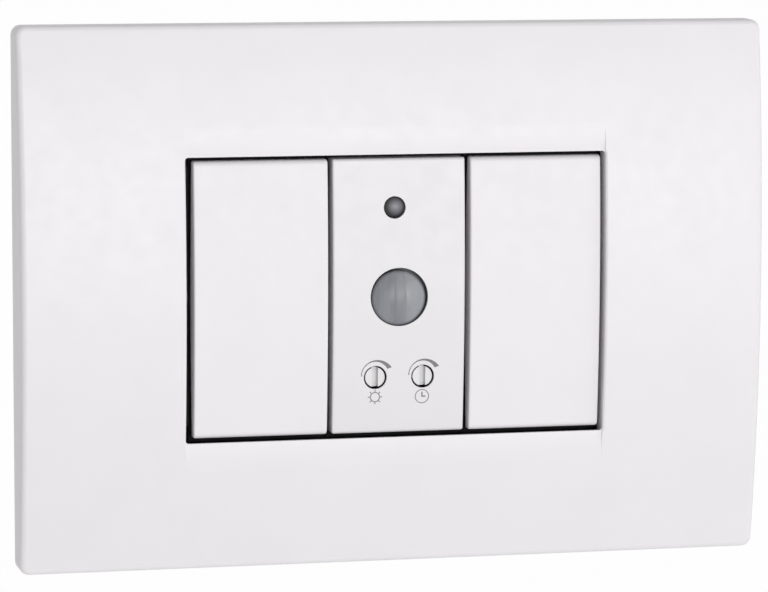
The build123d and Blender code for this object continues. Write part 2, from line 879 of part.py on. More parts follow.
def light_sensor():
    """A round-nosed light sensor that stands on the front board, behind the dark window."""
    tip = -fascia_ceiling + window_flange + light_sensor_gap
    shoulder = tip + light_sensor_radius
    body = rod_y(window_x, window_z, shoulder, board_front, light_sensor_radius)
    return body + Pos(window_x, shoulder, window_z) * Sphere(light_sensor_radius)


def infrared_sensor_can():
    """A metal can with a rectangular aperture."""
    top = board_front - can_height
    can = rod_y(0, lens_z, top, board_front, can_radius)
    flange = rod_y(0, lens_z, board_front - can_flange, board_front, can_flange_radius)
    hollow = rod_y(0, lens_z, top + can_wall, board_front - can_header, can_radius - can_wall)
    aperture = slab(0, filter_width / 2, top - overrun, top + can_wall, filter_height / 2)
    return can + flange - hollow - Pos(0, 0, lens_z) * aperture


def can_filter():
    """The infrared filter pane behind the can's aperture."""
    top = board_front - can_height + can_wall
    half_x = filter_width / 2 + filter_margin
    half_z = filter_height / 2 + filter_margin
    return Pos(0, 0, lens_z) * slab(0, half_x, top, top + filter_thickness, half_z)


def trimmer(x):
    """The body of one trimmer, with a round bore for the dial's shaft."""
    half = trimmer_size / 2
    top = board_front - trimmer_height
    body = block(x - half, x + half, top, board_front, dial_z - half, dial_z + half)
    return body - rod_y(x, dial_z, top - overrun, top + trimmer_bore, dial_shaft_radius + dial_shaft_play)


def dial(x):
    """A slotted disc on a shaft."""
    top = -at_front(dial_z) + dial_sink
    disc_back = top + dial_thickness
    shaft_end = board_front - trimmer_height + trimmer_bore - trimmer_bore_play
    disc = rod_y(x, dial_z, top, disc_back, dial_radius)
    shaft = rod_y(x, dial_z, disc_back, shaft_end, dial_shaft_radius)
    half = dial_slot_width / 2
    slot = block(x - half, x + half, top - overrun, top + dial_slot_depth,
                 dial_z - dial_radius - overrun, dial_z + dial_radius + overrun)
    return disc + shaft - slot


header_xs = [(index - (header_count - 1) / 2) * header_pitch for index in range(header_count)]


def board(front, back):
    """A circuit board with the header's holes."""
    plate = slab(0, board_half, front, back, board_half_height)
    for x in header_xs:
        plate = plate - rod_y(x, header_z, front - overrun, back + overrun, pin_hole_radius)
    return plate


def header_pins():
    half = pin_width / 2
    front = board_front - pin_proud
    back = power_back + pin_proud
    low = header_z - half
    high = header_z + half
    return group([block(x - half, x + half, front, back, low, high) for x in header_xs])


def header_spacer():
    """The plastic strip that holds the pins on the front board."""
    half = header_count * header_pitch / 2
    strip = block(-half, half, board_back, board_back + spacer_depth, header_z - spacer_height / 2,
                  header_z + spacer_height / 2)
    for x in header_xs:
        strip = strip - rod_y(x, header_z, board_back - overrun, board_back + spacer_depth + overrun,
                              pin_hole_radius)
    return strip


def controller_chip():
    return slab(0, chip_width / 2, board_back, board_back + chip_thickness, chip_height / 2)


# The relay's own places
relay_x = relay_side_margin - board_half
relay_front = board_back + chip_thickness + relay_front_gap
relay_length = board_half_height - relay_end_margin - relay_z
relay_mid = relay_x + relay_width / 2
coil_length = relay_length - coil_end_space
coil_y = power_front - coil_board_gap - bobbin_radius
yoke_low = relay_z + relay_wall
coil_low = yoke_low + yoke_thickness
coil_high = coil_low + coil_length
leg_back = coil_y - bobbin_radius - yoke_air
leg_front = leg_back - yoke_thickness
armature_low = coil_high + armature_gap
armature_axis_y = leg_front + yoke_thickness / 2
armature_axis_z = armature_low + yoke_thickness / 2


def relay_case():
    case = block(relay_x, relay_x + relay_width, relay_front, power_front, relay_z, relay_z + relay_length)
    hollow = block(relay_x + relay_wall, relay_x + relay_width - relay_wall, relay_front + relay_wall,
                   power_front + overrun, relay_z + relay_wall, relay_z + relay_length - relay_wall)
    return case - hollow


def relay_coil():
    """A bobbin with its winding."""
    lower = rod_z(relay_mid, coil_y, coil_low, coil_low + bobbin_flange, bobbin_radius)
    winding = rod_z(relay_mid, coil_y, coil_low, coil_high, winding_radius)
    upper = rod_z(relay_mid, coil_y, coil_high - bobbin_flange, coil_high, bobbin_radius)
    hole = rod_z(relay_mid, coil_y, coil_low - overrun, coil_high + overrun, core_radius + core_play)
    return lower + winding + upper - hole


def relay_yoke():
    """An angled iron frame with the core standing on it."""
    half = armature_width / 2
    end_plate = block(relay_mid - half, relay_mid + half, leg_front, coil_y + bobbin_radius,
                      yoke_low, coil_low)
    side_leg = block(relay_mid - half, relay_mid + half, leg_front, leg_back, yoke_low,
                     armature_low - armature_seat_play)
    core = rod_z(relay_mid, coil_y, coil_low, coil_high + core_proud, core_radius)
    return end_plate + side_leg + core


def relay_armature():
    """The plate that the coil pulls, with a rounded edge where it tips on the yoke."""
    half = armature_width / 2
    tip = coil_y + bobbin_radius - armature_tip_gap
    plate = block(relay_mid - half, relay_mid + half, armature_axis_y, tip, armature_low,
                  armature_low + yoke_thickness)
    edge = rod_x(relay_mid - half, relay_mid + half, armature_axis_y, armature_axis_z, yoke_thickness / 2)
    return plate + edge


# Places of the round parts below the relay
tall_can_x = tall_can_radius + tall_can_side_margin - board_half
tall_can_z = relay_z - part_gap - tall_can_radius
varistor_left = tall_can_x + tall_can_radius + varistor_can_gap
varistor_right = board_half - varistor_side_margin
varistor_x = (varistor_left + varistor_right) / 2
varistor_radius = (varistor_right - varistor_left) / 2
tall_can_low = tall_can_z - tall_can_radius
fuse_z = tall_can_low + fuse_place_share * (header_z - tall_can_low)


def film_capacitor():
    left = relay_x + relay_width + part_gap
    right = board_half - film_side_margin
    top = relay_z + relay_length - film_end_gap
    return block(left, right, power_front - film_depth, power_front, relay_z, top)


def electrolytic_capacitor():
    """An aluminium can with a groove near its board end."""
    can = rod_y(tall_can_x, tall_can_z, power_front - tall_can_depth, power_front, tall_can_radius)
    groove = Rot(90, 0, 0) * Torus(tall_can_radius, tall_can_groove)
    return can - Pos(tall_can_x, power_front - tall_can_radius / 2, tall_can_z) * groove


def varistor():
    z = relay_z - part_gap - varistor_thickness
    y = power_front - varistor_board_gap - varistor_radius
    return rod_z(varistor_x, y, z, z + varistor_thickness, varistor_radius)


def fuse():
    y = power_front - fuse_board_gap - fuse_cap_radius
    half = fuse_length / 2
    body = rod_x(fuse_x - half, fuse_x + half, y, fuse_z, fuse_radius)
    for side in (-1, 1):
        start = fuse_x + side * half
        end = fuse_x + side * (half - fuse_cap_length)
        body = body + rod_x(min(start, end), max(start, end), y, fuse_z, fuse_cap_radius)
    return body


def sensor_housing():
    """The common shell with four corner posts for the front board."""
    shell = housing_shell(0)
    for side in (-1, 1):
        inner = side * (inner_half - board_post)
        outer = side * (inner_half + body_wall / 2)
        post = block(min(inner, outer), max(inner, outer), board_front - board_post_height, board_front,
                     inner_half_height - board_post_length, inner_half_height + body_wall / 2)
        shell = shell + both_ends(post)
    return shell


def sensor_base():
    """The rear part of the sensor, with rests for the power board and dividers between the cages."""
    base = base_block(0, sensor_back)
    base = base - slab(0, inner_half, housing_back - overrun, sensor_cage_back, inner_half_height)
    for side in (-1, 1):
        inner = side * (cage_x + cage_width / 2 + cage_play)
        outer = side * (inner_half + body_wall / 2)
        half = board_rest_length / 2
        base = base + block(min(inner, outer), max(inner, outer),
                            power_back, sensor_cage_back + rear_wall / 2, -half, half)
    divider = block(-divider_width / 2, divider_width / 2, power_back + divider_play,
                    sensor_cage_back + rear_wall / 2, cage_inner, cage_outer)
    base = base + both_ends(divider)
    for across, up in terminal_places:
        place = across * cage_x
        base = base - wire_entry(place, up * wire_z, sensor_cage_back, sensor_back)
        base = base - screw_access(place, up, power_back + cage_depth / 2)
    return base + both_ends(base_latch(0))


# Write every node

save(cover_plate(), "cover_plate")
save(mounting_frame(), "mounting_frame")
save(group([box_screw(-box_screw_x), box_screw(box_screw_x)]), "box_screws")

for side_name, side in (("left", -1), ("right", 1)):
    module_x = side * module_pitch + module_row_shift
    save(rocker_key(module_x), side_name + "_rocker_key")
    save(rocker_carrier(module_x), side_name + "_rocker_carrier")
    save(plunger(module_x), side_name + "_plunger")
    save(plunger_spring(module_x), side_name + "_plunger_spring")
    save(switch_housing(module_x), side_name + "_switch_housing")
    save(terminal_base(module_x), side_name + "_terminal_base")
    save(contact_blade(module_x), side_name + "_contact_blade")
    save(rivets(module_x, blade_back), side_name + "_blade_rivets")
    save(rivets(module_x, strip_front - rivet_height), side_name + "_fixed_rivets")
    save(common_contact(module_x), side_name + "_common_contact")
    save(throw_contact(module_x, -1, 1), side_name + "_upper_throw_contact")
    save(throw_contact(module_x, 1, -1), side_name + "_lower_throw_contact")
    save(terminal_cages(module_x, cage_front), side_name + "_terminal_cages")
    save(terminal_screws(module_x, cage_front), side_name + "_terminal_screws")

save_sensor(sensor_fascia(), "sensor_fascia")
save_sensor(pir_lens(), "pir_lens")
save_sensor(light_window(), "light_window")
save_sensor(light_sensor(), "light_sensor")
save_sensor(infrared_sensor_can(), "infrared_sensor_can")
save_sensor(can_filter(), "infrared_filter")
save_sensor(board(board_front, board_back), "front_board")
save_sensor(controller_chip(), "controller_chip")
save_sensor(trimmer(dial_xs[0]), "brightness_trimmer")
save_sensor(trimmer(dial_xs[1]), "time_trimmer")
save_sensor(dial(dial_xs[0]), "brightness_dial")
save_sensor(dial(dial_xs[1]), "time_dial")
save_sensor(header_spacer(), "header_spacer")
save_sensor(header_pins(), "header_pins")
save_sensor(board(power_front, power_back), "power_board")
save_sensor(relay_case(), "relay_case")
save_sensor(relay_coil(), "relay_coil")
save_sensor(relay_yoke(), "relay_yoke")
save_sensor(relay_armature(), "relay_armature")
save_sensor(film_capacitor(), "film_capacitor")
save_sensor(electrolytic_capacitor(), "electrolytic_capacitor")
save_sensor(varistor(), "varistor")
save_sensor(fuse(), "fuse")
save_sensor(sensor_housing(), "sensor_housing")
save_sensor(sensor_base(), "sensor_base")
save_sensor(terminal_cages(0, power_back), "sensor_terminal_cages")
save_sensor(terminal_screws(0, power_back), "sensor_terminal_screws")
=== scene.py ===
import json
import math

import bmesh
import bpy
from mathutils import Matrix, Vector


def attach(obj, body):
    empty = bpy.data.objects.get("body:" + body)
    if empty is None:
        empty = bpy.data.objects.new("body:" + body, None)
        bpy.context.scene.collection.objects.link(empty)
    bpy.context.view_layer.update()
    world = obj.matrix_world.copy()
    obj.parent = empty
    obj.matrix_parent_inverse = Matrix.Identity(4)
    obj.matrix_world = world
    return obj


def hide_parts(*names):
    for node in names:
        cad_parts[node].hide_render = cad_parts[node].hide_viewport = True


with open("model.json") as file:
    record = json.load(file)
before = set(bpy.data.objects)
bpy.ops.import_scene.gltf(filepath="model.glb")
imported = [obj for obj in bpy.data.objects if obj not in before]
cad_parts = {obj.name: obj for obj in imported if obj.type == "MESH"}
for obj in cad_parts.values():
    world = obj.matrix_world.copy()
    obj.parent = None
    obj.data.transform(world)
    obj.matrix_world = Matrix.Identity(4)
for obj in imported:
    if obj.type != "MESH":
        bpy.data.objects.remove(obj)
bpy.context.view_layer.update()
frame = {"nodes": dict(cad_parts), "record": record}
nodes = frame["nodes"]

# Lengths are in metres: one millimetre is mm
mm = 0.001

# Sizes that are shared with the solids
module_x = 0.2 * mm
module_pitch = 22.5 * mm
fascia_crown = 7.2 * mm
cap_radius = 300 * mm
dial_xs = (-3.63 * mm, 4.17 * mm)
dial_z = -13.08 * mm
window_x = -0.55 * mm
window_z = 14.3 * mm
lens_z = -0.1 * mm
lens_radius = 4.48 * mm
lens_edge = 6.865 * mm
lens_rise = 1.3 * mm
lens_wall = 0.6 * mm
lens_back = 5.5 * mm
lens_flange_radius = 5.7 * mm
lens_flange = 0.7 * mm
box_screw_x = 41.75 * mm
box_screw_radius = 1.75 * mm
box_neck_radius = 1.55 * mm
box_seat = 2.8 * mm
box_head_height = 2.0 * mm
box_head_radius = 3.5 * mm
box_drive_width = 1.0 * mm
box_drive_depth = 1.1 * mm
box_screw_length = 25.0 * mm
frame_window_half = 34.0 * mm
frame_window_half_height = 21.7 * mm
frame_thickness = 2.2 * mm
housing_half = 11.1 * mm
housing_half_height = 21.5 * mm
housing_edge_radius = 0.5 * mm
coil_x = -4.1 * mm
coil_y = 18.5 * mm
coil_low = 1.2 * mm
coil_length = 12.8 * mm
coil_flange = 0.8 * mm
coil_flange_radius = 4.0 * mm
coil_winding_radius = 3.5 * mm
coil_hole_radius = 1.25 * mm

# Sizes of what the scene adds to the solids
lens_shift_x = -0.10 * mm
lens_shift_z = -0.19 * mm
lens_rim_fade = 0.35 * mm
lens_turns = 96
lens_rows = 40
hollow_shares = (0.85, 0.6, 0.35, 0.12)
facet_edges = [-4.0 * mm, -2.8 * mm, -0.8 * mm, 1.05 * mm, 3.10 * mm, 4.2 * mm]
facet_depths = [0.02 * mm, 0.03 * mm, 0.07 * mm, 0.10 * mm, 0.04 * mm]
facet_bend = 0.55
facet_lean = 0.6
tier_depth = 0.05 * mm
tier_z = 2.7 * mm
tier_run = 0.5 * mm
ink_lift = 0.012 * mm
ink_sink = 0.010 * mm
wedge_inner = (2.21 * mm, 1.03 * mm, 0.17 * mm)
wedge_outer = (2.37 * mm, 0.09 * mm, 0.76 * mm)
wedge_inner_angles = (173, 35)
wedge_outer_angles = (174, 31)
wedge_points = 40
ring_angles = (0, 359.9)
ring_points = 41
mark_stroke = 0.15 * mm
clock_stroke = 0.135 * mm
hand_stroke = 0.21 * mm
sun_x = -3.65 * mm
sun_z = -16.28 * mm
sun_radius = 0.76 * mm
sun_ray_start = 0.86 * mm
sun_ray_end = 1.18 * mm
sun_rays = 8
clock_x = 4.10 * mm
clock_z = -16.37 * mm
clock_radius = 1.10 * mm
minute_hand = (-0.10 * mm, 0.74 * mm)
hour_hand = (0, 0.58 * mm)
thread_pitch = 0.6 * mm
thread_depth = 0.30 * mm
thread_wire = 0.29 * mm
thread_start = 0.3 * mm
thread_run_out = 1.0 * mm
shoulder_start = -0.25 * mm
shoulder_end = 0.05 * mm
tip_taper = 0.5 * mm
tip_share = 0.55
head_flat_share = 0.45
head_crown_share = 0.7
cross_top_share = 0.60
cross_deep_share = 0.34
cross_overrun = 0.5 * mm
coil_wire = 0.16 * mm
coil_bevel = 0.15 * mm
points_per_turn = 40
web_play = 0.05 * mm
arc_steps = 8
floor_half = 12.0
floor_height = -65 * mm


# Camera and light, first, because every other choice is judged through them

def look_through(place, forward, up, lens):
    """A camera at the photograph's viewing point."""
    data = bpy.data.cameras.new("viewing_camera")
    data.sensor_fit = "HORIZONTAL"
    data.sensor_width = 36.0
    data.lens = lens
    data.clip_start = 0.01
    data.clip_end = 50.0
    camera = bpy.data.objects.new("viewing_camera", data)
    bpy.context.scene.collection.objects.link(camera)
    forward = Vector(forward).normalized()
    side = forward.cross(Vector(up)).normalized()
    top = side.cross(forward)
    turn = Matrix((side, top, -forward)).transposed().to_4x4()
    camera.matrix_world = Matrix.Translation(place) @ turn
    bpy.context.scene.camera = camera


camera_place = (-0.13500, -0.59116, 0.08037)
camera_forward = (0.21958, 0.96651, -0.13281)
camera_up = (0.02511, 0.13049, 0.99113)
camera_lens = 177.03
look_through(camera_place, camera_forward, camera_up, camera_lens)


def soft_box(name, place, aim, width, height, power):
    """A rectangular studio light that faces a point."""
    data = bpy.data.lights.new(name, "AREA")
    data.shape = "RECTANGLE"
    data.size = width
    data.size_y = height
    data.energy = power
    light = bpy.data.objects.new(name, data)
    bpy.context.scene.collection.objects.link(light)
    direction = Vector(aim) - Vector(place)
    light.matrix_world = Matrix.Translation(place) @ direction.to_track_quat("-Z", "Y").to_matrix().to_4x4()


soft_box("front_soft_box", (0.16, -1.15, 0.06), (0, 0, 0), width=0.75, height=0.22, power=5.85)
soft_box("right_strip", (0.90, -0.40, 0.15), (0, 0, 0), width=0.25, height=0.4, power=1.2)


def seen_or_reflected(tree):
    """One where a ray comes from the camera, a gloss or a glass, and zero for the light itself."""
    path = tree.nodes.new("ShaderNodeLightPath")
    total = path.outputs["Is Camera Ray"]
    for name in ("Is Glossy Ray", "Is Transmission Ray"):
        add = tree.nodes.new("ShaderNodeMath")
        add.operation = "MAXIMUM"
        tree.links.new(total, add.inputs[0])
        tree.links.new(path.outputs[name], add.inputs[1])
        total = add.outputs[0]
    return total


def studio_world(level):
    """An even white tent: white to look at, and dimmer as a source of light."""
    world = bpy.data.worlds.new("studio_tent")
    world.use_nodes = True
    tree = world.node_tree
    tent = tree.nodes["Background"]
    tent.inputs["Color"].default_value = (1, 1, 1, 1)
    tent.inputs["Strength"].default_value = level
    shown = tree.nodes.new("ShaderNodeBackground")
    shown.inputs["Color"].default_value = (1, 1, 1, 1)
    shown.inputs["Strength"].default_value = 1.0
    mix = tree.nodes.new("ShaderNodeMixShader")
    tree.links.new(seen_or_reflected(tree), mix.inputs["Fac"])
    tree.links.new(tent.outputs["Background"], mix.inputs[1])
    tree.links.new(shown.outputs["Background"], mix.inputs[2])
    tree.links.new(mix.outputs["Shader"], tree.nodes["World Output"].inputs["Surface"])
    bpy.context.scene.world = world


studio_world(0.42)
bpy.context.scene.view_settings.view_transform = "Standard"


# Materials

class Kit:
    """The parts of one material, with short ways to add to them."""

    def __init__(self, name, colour, roughness, metallic=0.0):
        self.material = bpy.data.materials.new(name)
        self.material.use_nodes = True
        self.nodes = self.material.node_tree.nodes
        self.links = self.material.node_tree.links
        self.surface = self.nodes["Principled BSDF"]
        self.place = self.nodes.new("ShaderNodeTexCoord").outputs["Object"]
        self.surface.inputs["Base Color"].default_value = (*colour, 1)
        self.surface.inputs["Roughness"].default_value = roughness
        self.surface.inputs["Metallic"].default_value = metallic
        self.height = None

    def stretched(self, stretch):
        """The place on the piece, squeezed so that a pattern comes out long in one direction."""
        mapping = self.nodes.new("ShaderNodeMapping")
        mapping.inputs["Scale"].default_value = stretch
        self.links.new(self.place, mapping.inputs["Vector"])
        return mapping.outputs["Vector"]

    def noise(self, size, detail=4.0, stretch=None):
        """A cloudy pattern whose patches have this size."""
        texture = self.nodes.new("ShaderNodeTexNoise")
        texture.inputs["Scale"].default_value = 1 / size
        texture.inputs["Detail"].default_value = detail
        place = self.stretched(stretch) if stretch else self.place
        self.links.new(place, texture.inputs["Vector"])
        return texture.outputs["Fac"]

    def ramp(self, value, low, high, low_share=0.35, high_share=0.65):
        """Turns a value from a pattern into a colour between two colours."""
        ramp = self.nodes.new("ShaderNodeValToRGB")
        ramp.color_ramp.elements[0].position = low_share
        ramp.color_ramp.elements[0].color = (*low, 1)
        ramp.color_ramp.elements[1].position = high_share
        ramp.color_ramp.elements[1].color = (*high, 1)
        self.links.new(value, ramp.inputs["Fac"])
        return ramp.outputs["Color"]

    def spread(self, value, low, high, from_low=0.3, from_high=0.7):
        """Turns a value from a pattern into a number between two numbers."""
        spread = self.nodes.new("ShaderNodeMapRange")
        spread.inputs["From Min"].default_value = from_low
        spread.inputs["From Max"].default_value = from_high
        spread.inputs["To Min"].default_value = low
        spread.inputs["To Max"].default_value = high
        self.links.new(value, spread.inputs["Value"])
        return spread.outputs["Result"]

    def colour(self, output):
        """The finish takes its colour from this output."""
        self.links.new(output, self.surface.inputs["Base Color"])

    def roughness(self, output):
        """The finish takes its roughness from this output."""
        self.links.new(output, self.surface.inputs["Roughness"])

    def relief(self, value, depth, strength=1.0):
        """Adds a pattern of real depth to what lies under it."""
        bump = self.nodes.new("ShaderNodeBump")
        bump.inputs["Distance"].default_value = depth
        bump.inputs["Strength"].default_value = strength
        self.links.new(value, bump.inputs["Height"])
        if self.height is not None:
            self.links.new(self.height, bump.inputs["Normal"])
        self.height = bump.outputs["Normal"]
        self.links.new(self.height, self.surface.inputs["Normal"])

    def from_axis(self, x, z, reach):
        """The distance from an axis along Y, as a share of a reach."""
        middle = self.nodes.new("ShaderNodeCombineXYZ")
        middle.inputs["X"].default_value = x
        middle.inputs["Z"].default_value = z
        flat = self.nodes.new("ShaderNodeVectorMath")
        flat.operation = "MULTIPLY"
        flat.inputs[1].default_value = (1, 0, 1)
        self.links.new(self.place, flat.inputs[0])
        distance = self.nodes.new("ShaderNodeVectorMath")
        distance.operation = "DISTANCE"
        self.links.new(flat.outputs["Vector"], distance.inputs[0])
        self.links.new(middle.outputs["Vector"], distance.inputs[1])
        return self.spread(distance.outputs["Value"], 0, 1, 0, reach)

    def multiplied(self, first, second):
        """Two colours multiplied together."""
        mix = self.nodes.new("ShaderNodeMix")
        mix.data_type = "RGBA"
        mix.blend_type = "MULTIPLY"
        mix.inputs["Factor"].default_value = 1.0
        self.links.new(first, mix.inputs[6])
        self.links.new(second, mix.inputs[7])
        return mix.outputs[2]


def shade(colour, share):
    """A darker share of a colour."""
    return tuple(channel * share for channel in colour)


def moulded_plastic(name, colour, roughness, grain=0.25, grain_depth=0.004, cloud=0.985, sheen=0.5):
    """Injection-moulded plastic: fine spark texture, faint clouding and a slow wave in its gloss."""
    kit = Kit(name, colour, roughness)
    kit.surface.inputs["Specular IOR Level"].default_value = sheen
    clouds = kit.noise(9 * mm, 3.0)
    kit.colour(kit.ramp(clouds, shade(colour, cloud), colour))
    gloss = kit.noise(2.5 * mm, 4.0)
    kit.roughness(kit.spread(gloss, roughness * 0.9, roughness * 1.1))
    kit.relief(kit.noise(14 * mm, 2.0), 0.02 * mm, 0.5)
    kit.relief(kit.noise(grain * mm, 3.0), grain_depth * mm, 0.6)
    return kit


def drawn_metal(name, colour, roughness, streak=(1, 1, 1), scratch_depth=0.003):
    """Plated or rolled metal with fine streaks along its working direction and dull patches."""
    kit = Kit(name, colour, roughness, 1.0)
    patches = kit.noise(3 * mm, 4.0)
    kit.colour(kit.ramp(patches, shade(colour, 0.88), colour))
    streaks = kit.noise(0.35 * mm, 5.0, streak)
    kit.roughness(kit.spread(streaks, roughness * 0.75, roughness * 1.35))
    kit.relief(streaks, scratch_depth * mm, 0.7)
    return kit


def circuit_board(name, mask, copper):
    """Solder mask with copper tracks showing through it and the weave of the laminate."""
    kit = Kit(name, mask, 0.32)
    tracks = kit.nodes.new("ShaderNodeTexBrick")
    tracks.inputs["Scale"].default_value = 1 / (9 * mm)
    tracks.inputs["Mortar Size"].default_value = 0.06
    tracks.inputs["Color1"].default_value = (*mask, 1)
    tracks.inputs["Color2"].default_value = (*shade(mask, 0.82), 1)
    tracks.inputs["Mortar"].default_value = (*copper, 1)
    turn = kit.nodes.new("ShaderNodeMapping")
    turn.inputs["Rotation"].default_value = (math.radians(90), 0, 0)
    kit.links.new(kit.place, turn.inputs["Vector"])
    kit.links.new(turn.outputs["Vector"], tracks.inputs["Vector"])
    kit.colour(tracks.outputs["Color"])
    kit.relief(tracks.outputs["Fac"], 0.02 * mm, 0.6)
    weave = kit.nodes.new("ShaderNodeTexWave")
    weave.inputs["Scale"].default_value = 1 / (1.2 * mm)
    kit.links.new(kit.place, weave.inputs["Vector"])
    kit.relief(weave.outputs["Fac"], 0.006 * mm, 0.5)
    return kit


def smoked_window(name):
    """A smoked dome whose colour carries painted light: a painted highlight right of and above its middle,
    fading to painted shade towards its edge.
    """
    kit = Kit(name, (0.05, 0.05, 0.055), 0.42)
    # Painted light: lightest at a point right of and above the middle, darkening into painted shade towards
    # the edge
    share = kit.from_axis(window_x + 0.2 * mm, window_z + 0.1 * mm, 1.6 * mm)
    painted_highlight_and_edge_shade = kit.nodes.new("ShaderNodeValToRGB")
    painted_highlight_and_edge_shade.color_ramp.elements[0].color = (0.225, 0.22, 0.25, 1)
    painted_highlight_and_edge_shade.color_ramp.elements[1].color = (0.016, 0.016, 0.018, 1)
    painted_highlight_and_edge_shade.color_ramp.elements.new(0.55).color = (0.115, 0.113, 0.128, 1)
    painted_highlight_and_edge_shade.color_ramp.elements.new(0.86).color = (0.035, 0.035, 0.040, 1)
    kit.links.new(share, painted_highlight_and_edge_shade.inputs["Fac"])
    kit.colour(painted_highlight_and_edge_shade.outputs["Color"])
    kit.relief(kit.noise(1.2 * mm, 2.0), 0.004 * mm, 0.5)
    return kit


def milky_lens(name):
    """Milky plastic lens with fine upright grooves and a random cloudy tone, with painted light in its
    colour: painted shade towards the left and towards its edge, and a painted highlight on the facet right of
    one facet edge.
    """
    kit = Kit(name, (0.27, 0.28, 0.30), 0.42)
    across = kit.nodes.new("ShaderNodeSeparateXYZ")
    kit.links.new(kit.place, across.inputs["Vector"])
    clouds = kit.noise(3.2 * mm, 2.0, (1.6, 1, 0.5))
    # Painted shade: the colour runs darker towards the left of the lens and lighter towards its right, as the
    # dome takes the light
    side = kit.spread(across.outputs["X"], 0.38, 0.48, module_x - 3.5 * mm, module_x + 3.5 * mm)
    total = kit.nodes.new("ShaderNodeMath")
    total.operation = "ADD"
    weight = kit.spread(clouds, -0.12, 0.12)
    kit.links.new(side, total.inputs[0])
    kit.links.new(weight, total.inputs[1])
    # Painted highlight: the facet right of this facet edge is coloured lighter, as if it caught more light
    painted_highlight_edge_x = module_x + lens_shift_x + facet_edges[3]
    step = kit.spread(across.outputs["X"], 0, 0.16, painted_highlight_edge_x - 0.05 * mm, painted_highlight_edge_x + 0.12 * mm)
    with_painted_facet_highlight = kit.nodes.new("ShaderNodeMath")
    with_painted_facet_highlight.operation = "ADD"
    kit.links.new(total.outputs[0], with_painted_facet_highlight.inputs[0])
    kit.links.new(step, with_painted_facet_highlight.inputs[1])
    lens_tone_and_painted_light = kit.ramp(with_painted_facet_highlight.outputs[0], (0.190, 0.198, 0.222), (0.318, 0.330, 0.348), 0.25, 0.80)
    # Painted shade: the colour darkens towards the lens's edge and over its wall, where the hole's edge
    # shades it
    painted_edge_shade = kit.nodes.new("ShaderNodeValToRGB")
    painted_edge_shade.color_ramp.elements[0].position = 0.88
    painted_edge_shade.color_ramp.elements[0].color = (1, 1, 1, 1)
    painted_edge_shade.color_ramp.elements[1].position = 0.98
    painted_edge_shade.color_ramp.elements[1].color = (0.25, 0.25, 0.25, 1)
    painted_edge_shade.color_ramp.elements.new(0.95).color = (0.66, 0.66, 0.66, 1)
    from_middle = kit.from_axis(module_x + lens_shift_x, lens_z + lens_shift_z, lens_radius)
    kit.links.new(from_middle, painted_edge_shade.inputs["Fac"])
    kit.colour(kit.multiplied(lens_tone_and_painted_light, painted_edge_shade.outputs["Color"]))
    grooves = kit.noise(0.16 * mm, 2.0, (1, 0.2, 0.05))
    kit.relief(grooves, 0.004 * mm, 0.5)
    kit.surface.inputs["Subsurface Weight"].default_value = 0.08
    kit.surface.inputs["Subsurface Radius"].default_value = (0.6 * mm, 0.6 * mm, 0.6 * mm)
    kit.surface.inputs["Subsurface Scale"].default_value = 1.0
    return kit


